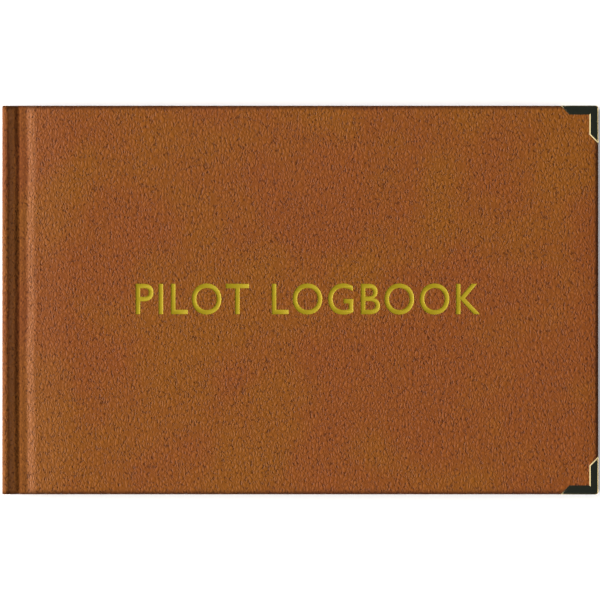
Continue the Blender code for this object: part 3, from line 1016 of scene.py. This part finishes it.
@dataclass
class CornerGuard:
    """A brass guard pressed over one corner of a cover: two L-shaped plates with 45-degree ends, and two walls."""

    book: Book
    side: Side
    end: End
    finish: bpy.types.Material
    band: float = 3.6 * MM
    sheet: float = 0.35 * MM
    edge_run: float = 0.42 * MM
    edge_drop: float = 0.115 * MM

    @property
    def node(self) -> str:
        """The name of the guard's node in the frame."""
        return f"corner_{self.side.value}_{self.end.word}"

    def outline(self, gap: float = 0.0, reach: float = 0.0) -> list[tuple[float, float]]:
        """The L, widened by a gap and extended outwards by a reach."""
        low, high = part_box(self.node)
        end = (high.x - low.x) + math.sqrt(2) * gap
        band = self.band + gap
        steps = [(-reach, -reach), (end + reach, -reach), (end - band, band)]
        steps += [(band, band), (band, end - band), (-reach, end + reach)]
        return [(self.book.fore - a, self.end.value * (self.book.head - b)) for a, b in steps]

    def pocket(self) -> bmesh.types.BMesh:
        """The room that the leatherette leaves for the guard, made for the front cover."""
        return prism(self.outline(0.06 * MM, 1 * MM), self.book.middle + 1 * MM, self.book.top + 1 * MM)

    def build(self) -> bpy.types.Object:
        """Makes the guard."""
        book = self.book
        low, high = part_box(self.node)
        thick = high.z - low.z
        proud = thick - book.inner
        base = book.top - book.inner
        face_level = book.top + proud
        bm = prism(self.outline(), base, face_level - self.edge_drop)
        self._raise_plate(bm)
        bevel(bm, [e for e in bm.edges if self._at_corner(e)], 1.1 * MM, 10)
        bm.normal_update()
        fold = [e for e in bm.edges if self._is_fold(e, face_level)]
        bevel(bm, fold, 0.6 * MM, 9)
        if self.side is Side.BACK:
            mirror_down(bm, book)
        guard = to_object(f"{self.node}_guard", bm, self.finish)
        wall = self.sheet
        slot_low = (book.board, -book.head + wall, base + wall)
        slot_high = (book.fore - wall, book.head - wall, book.top + proud - wall - 0.1 * MM)
        slot = box_mesh(slot_low, slot_high)
        outer = [e for e in slot.edges if all(self._is_outermost(v, slot_high) for v in e.verts)]
        bevel(slot, outer, 0.7 * MM, 4)
        if self.side is Side.BACK:
            mirror_down(slot, book)
        cut_away(guard, to_object("slot", slot))
        guard.data.set_sharp_from_angle(angle=math.radians(13))
        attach(guard, f"{self.side.value}_cover")
        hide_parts(self.node)
        return guard

    def _raise_plate(self, bm: bmesh.types.BMesh) -> None:
        """Raises the plate above its sloping inner edges. The outer edges stay upright."""
        bm.normal_update()
        top = [f for f in bm.faces if f.normal.z > 0.9]
        made = bmesh.ops.extrude_face_region(bm, geom=top)["geom"]
        bmesh.ops.delete(bm, geom=top, context="FACES_ONLY")
        moves = list(zip(self.outline(), self.outline(-self.edge_run)))
        for vert in (v for v in made if isinstance(v, bmesh.types.BMVert)):
            old, new = min(moves, key=lambda move: (Vector(move[0]) - vert.co.xy).length)
            vert.co.x, vert.co.y = new
            vert.co.z += self.edge_drop

    @staticmethod
    def _is_fold(edge: bmesh.types.BMEdge, level: float) -> bool:
        """Whether the plate is folded down into a wall along this edge."""
        upper = all(abs(vert.co.z - level) < 1e-6 for vert in edge.verts)
        return upper and any(abs(face.normal.z) < 0.1 for face in edge.link_faces)

    @staticmethod
    def _is_outermost(vert: bmesh.types.BMVert, high: Sequence[float]) -> bool:
        """Whether a corner of the slot lies at the cover's fore-edge."""
        return abs(vert.co.x - high[0]) < 1e-6

    def _at_corner(self, edge: bmesh.types.BMEdge) -> bool:
        """Whether an edge is the upright one at the cover's own corner."""
        outermost = (self.book.fore, self.end.value * self.book.head)
        return all((vert.co.xy - Vector(outermost)).length < 1e-6 for vert in edge.verts)


# ---- The leaves -----------------------------------------------------------------------------------------------


@dataclass
class Leaves:
    """The eight signatures, each of four sheets folded one inside the next."""

    book: Book
    finish: bpy.types.Material
    sheets: int = 4
    fill: float = 0.92

    def body_of(self, number: int) -> str:
        """The body that a signature rides on."""
        upper = {1: "upper_leaves", 2: "upper_leaves", 3: "third_signature", 4: "fourth_signature"}
        return upper.get(number, "lower_leaves")

    def build(self) -> list[bpy.types.Object]:
        """Makes all the signatures."""
        return [self.signature(number) for number in range(1, 9)]

    def signature(self, number: int) -> bpy.types.Object:
        """Eight leaves: four sheets with round folds, their fore-edges a hair out of line."""
        node = f"signature_{number}"
        low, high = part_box(node)
        draw = random.Random(number)
        outer = (high.z - low.z) / 2
        pitch = outer / self.sheets
        paper = pitch * self.fill
        centre = Vector((low.x + outer, 0, low.z + outer))
        whole = bmesh.new()
        for sheet in range(self.sheets):
            radius = outer - sheet * pitch
            ends = [high.x - draw.uniform(0, 0.12) * MM for _ in range(2)]
            outline = [(ends[0], centre.z - radius)] + self._arc(centre, radius, 1)
            outline += [(ends[1], centre.z + radius), (ends[1], centre.z + radius - paper)]
            outline += self._arc(centre, radius - paper, -1) + [(ends[0], centre.z - radius + paper)]
            trim = draw.uniform(0, 0.06) * MM
            part = prism(outline, low.y + trim, high.y - trim, upright=False)
            mesh = bpy.data.meshes.new("sheet")
            part.to_mesh(mesh)
            part.free()
            whole.from_mesh(mesh)
            bpy.data.meshes.remove(mesh)
        piece = to_object(f"{node}_leaves", whole, self.finish)
        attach(piece, self.body_of(number))
        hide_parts(node)
        return piece

    @staticmethod
    def _arc(centre: Vector, radius: float, direction: int) -> list[tuple[float, float]]:
        """A half round on the spine side, upwards or downwards."""
        steps = 8
        angles = [math.pi * step / steps - math.pi / 2 for step in range(steps + 1)]
        points = [(centre.x - radius * math.cos(a), centre.z + radius * math.sin(a)) for a in angles]
        return points[::direction]


@dataclass
class Endpaper:
    """A folded sheet: one half pasted to the board, the other the flyleaf, with the fold in the joint."""

    book: Book
    side: Side
    finish: bpy.types.Material
    thickness: float = 0.12 * MM

    def build(self) -> bpy.types.Object:
        """Makes the sheet."""
        side = self.side.value
        paste_low, paste_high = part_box(f"{side}_pastedown")
        fly_low, fly_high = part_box(f"{side}_flyleaf")
        paste = (paste_low.z + paste_high.z) / 2
        fly = (fly_low.z + fly_high.z) / 2
        fold_x = fly_low.x + 0.35 * MM
        radius = abs(paste - fly) / 2

        def place(along: float, across: float) -> Vector:
            if along < 0.4:
                x, z = paste_high.x + (fold_x - paste_high.x) * self._ease(along / 0.4), paste
                half = paste_high.y + (fly_high.y - paste_high.y) * smoothstep((along - 0.34) / 0.06)
            elif along <= 0.6:
                angle = math.pi * (along - 0.4) / 0.2
                x = fold_x - radius * math.sin(angle)
                z = (paste + fly) / 2 + (paste - fly) / 2 * math.cos(angle)
                half = fly_high.y
            else:
                x, z = fold_x + (fly_high.x - fold_x) * self._ease_in((along - 0.6) / 0.4), fly
                half = fly_high.y
            return Vector((x, half * (2 * across - 1), z))

        bm = mapped_sheet(60, 12, place)
        piece = to_object(f"{side}_endpaper", bm, self.finish)
        thicken(piece, self.thickness)
        piece.modifiers["thickness"].offset = 0
        applied(piece)
        if self.side is Side.FRONT:
            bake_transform(piece)
        else:
            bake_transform(piece)
        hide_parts(f"{side}_pastedown", f"{side}_flyleaf")
        return piece

    @staticmethod
    def _ease(share: float) -> float:
        """Brings the rows of a sheet closer together towards its fold."""
        return 1 - (1 - share) ** 2

    @staticmethod
    def _ease_in(share: float) -> float:
        """Spreads the rows of a sheet away from its fold."""
        return share**2


@dataclass
class EndBand:
    """Half of a headband or tailband: a bead wound with thread, on its tape."""

    end: End
    half: str
    finish: bpy.types.Material
    turn: float = 0.55 * MM

    def build(self) -> bpy.types.Object:
        """Makes the bead and its tape."""
        node = f"{'head' if self.end is End.HEAD else 'tail'}band_{self.half}"
        low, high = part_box(node)
        bead = (high.x - low.x) / 2
        outside = high.y if self.end is End.HEAD else low.y
        centre = Vector((low.x + bead, outside - self.end.value * bead, low.z))
        bm = bmesh.new()
        made = bmesh.ops.create_circle(bm, cap_ends=True, segments=14, radius=bead * 0.86)
        bmesh.ops.translate(bm, vec=centre, verts=made["verts"])
        steps = max(2, 6 * round((high.z - low.z) / self.turn))
        rise = (high.z - low.z) / steps
        face = bm.faces[:][0]
        for step in range(1, steps + 1):
            grown = bmesh.ops.extrude_face_region(bm, geom=[face])["geom"]
            verts = [item for item in grown if isinstance(item, bmesh.types.BMVert)]
            bmesh.ops.delete(bm, geom=[face], context="FACES_ONLY") if step > 1 else None
            face = next(item for item in grown if isinstance(item, bmesh.types.BMFace))
            height = step * rise
            wanted = bead * (0.86 + 0.14 * abs(math.sin(math.pi * height / self.turn)))
            for vert in verts:
                flat = Vector((vert.co.x - centre.x, vert.co.y - centre.y, 0)).normalized() * wanted
                vert.co = centre + flat + Vector((0, 0, height))
        tape_y = outside - self.end.value * 9.4 * MM
        ends = sorted((tape_y, centre.y))
        tape = box_mesh((low.x, ends[0], low.z), (low.x + 0.25 * MM, ends[1], high.z))
        mesh = bpy.data.meshes.new("tape")
        tape.to_mesh(mesh)
        tape.free()
        bm.from_mesh(mesh)
        bpy.data.meshes.remove(mesh)
        bmesh.ops.recalc_face_normals(bm, faces=bm.faces)
        piece = to_object(f"{node}_bead", bm, self.finish)
        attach(piece, f"{self.half}_leaves")
        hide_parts(node)
        return piece


def dress_frame(frame: dict[str, Any], finishes: Finishes) -> None:
    """Gives the frame's own nodes their real finishes, where their shape is right as it is."""
    for entry in frame["record"]["subparts"]:
        node = frame["nodes"][entry["node"]]
        if node.hide_render:
            continue
        material = getattr(finishes, entry["material_slot"])
        node.data.materials.clear()
        node.data.materials.append(material)
        log.info("dressed %s in %s", entry["node"], material.name)


# ---- The studio -----------------------------------------------------------------------------------------------


@dataclass
class Studio:
    """A pale floor, a broad soft light from the left, and a long lens straight above the cover."""

    book: Book
    frame_width: float = 239.4 * MM
    distance: float = 2.4
    sensor: float = 36.0

    def build(self) -> None:
        """Makes the floor, the lights, the world and the camera."""
        self._floor()
        self._light("key", (-5.4, 0.2, 3.0), (8.0, 2.6), 1050.0)
        self._light("card", (-3.0, 0.0, 5.5), (6.4, 2.3), 75.0)
        self._light("fill", (5.0, -1.0, 2.2), (5.0, 1.6), 90.0)
        self._world()
        self._camera()

    def _floor(self) -> None:
        """A matt white table top."""
        bm = bmesh.new()
        bmesh.ops.create_grid(bm, x_segments=1, y_segments=1, size=6.0)
        bmesh.ops.translate(bm, vec=(0, 0, -0.0002), verts=bm.verts)
        mat = Recipe("floor_white")
        mat.feed(mat.shader, {"Base Color": linear("#f6f5f2"), "Roughness": 0.95, "Specular IOR Level": 0.1})
        mat.feed(mat.shader, {"Emission Color": linear("#ffffff"), "Emission Strength": 0.22})
        to_object("floor", bm, mat.material)

    @staticmethod
    def _light(name: str, place: Sequence[float], size: Sequence[float], power: float) -> None:
        """A rectangular soft box aimed at the book."""
        lamp = bpy.data.lights.new(name, "AREA")
        lamp.shape = "RECTANGLE"
        lamp.size, lamp.size_y = size
        lamp.energy = power
        holder = bpy.data.objects.new(name, lamp)
        holder.location = place
        holder.rotation_euler = (-Vector(place)).to_track_quat("-Z", "Y").to_euler()
        bpy.context.scene.collection.objects.link(holder)

    @staticmethod
    def _world() -> None:
        """A pale room with an unlit ceiling, which polished brass reflects as near black."""
        world = bpy.data.worlds.new("room")
        world.use_nodes = True
        nodes, links = world.node_tree.nodes, world.node_tree.links
        coordinates = nodes.new("ShaderNodeTexCoord")
        split = nodes.new("ShaderNodeSeparateXYZ")
        links.new(coordinates.outputs["Generated"], split.inputs[0])
        ramp = nodes.new("ShaderNodeValToRGB")
        stops = ramp.color_ramp.elements
        stops[0].position, stops[0].color = 0.25, (0.85, 0.85, 0.85, 1)
        stops[1].position, stops[1].color = 0.55, (0.05, 0.08, 0.12, 1)
        links.new(split.outputs[2], ramp.inputs[0])
        background = nodes["Background"]
        background.inputs["Strength"].default_value = 0.45
        links.new(ramp.outputs[0], background.inputs["Color"])
        bpy.context.scene.world = world

    def _camera(self) -> None:
        """A camera that looks straight down with the head of the book upwards."""
        lens = bpy.data.cameras.new("camera")
        lens.sensor_width = self.sensor
        lens.lens = self.sensor * self.distance / self.frame_width
        lens.clip_end = 20
        camera = bpy.data.objects.new("camera", lens)
        centre = (self.book.spine + self.book.fore) / 2
        camera.location = (centre - 0.1 * MM, 0, self.book.top + self.distance)
        bpy.context.scene.collection.objects.link(camera)
        bpy.context.scene.camera = camera
        bpy.context.scene.view_settings.view_transform = "Standard"


def main() -> None:
    """Builds the book round its frame."""
    logging.basicConfig(level=logging.INFO, format="%(message)s")
    for startup in list(bpy.data.objects):
        bpy.data.objects.remove(startup, do_unlink=True)
    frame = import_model()
    book = Book.from_frame()
    Studio(book).build()
    finishes = Finishes.build(book)

    case = CaseLeather(book, finishes.leatherette)
    for piece in case.build():
        log.info("made %s", piece.name)
    for side in Side:
        log.info("made %s", BoardCore(side, finishes.greyboard).build().name)
    title = Title(book, finishes.foil)
    guards = [CornerGuard(book, side, end, finishes.brass) for side in Side for end in End]
    cover = case.cover(Side.FRONT)
    cut_away(cover, to_object("title_cutter", title.cutter()))
    for guard in guards:
        if guard.side is Side.FRONT:
            cut_away(cover, to_object("pocket", guard.pocket()))
        log.info("made %s", guard.build().name)
    keep_place(cover)
    log.info("made %s", title.build().name)

    for piece in Leaves(book, finishes.page_paper).build():
        log.info("made %s", piece.name)
    for side in Side:
        log.info("made %s", Endpaper(book, side, finishes.endpaper).build().name)
    for end in End:
        for half in ("upper", "lower"):
            log.info("made %s", EndBand(end, half, finishes.woven_band).build().name)
    dress_frame(frame, finishes)


if __name__ == "__main__":
    main()
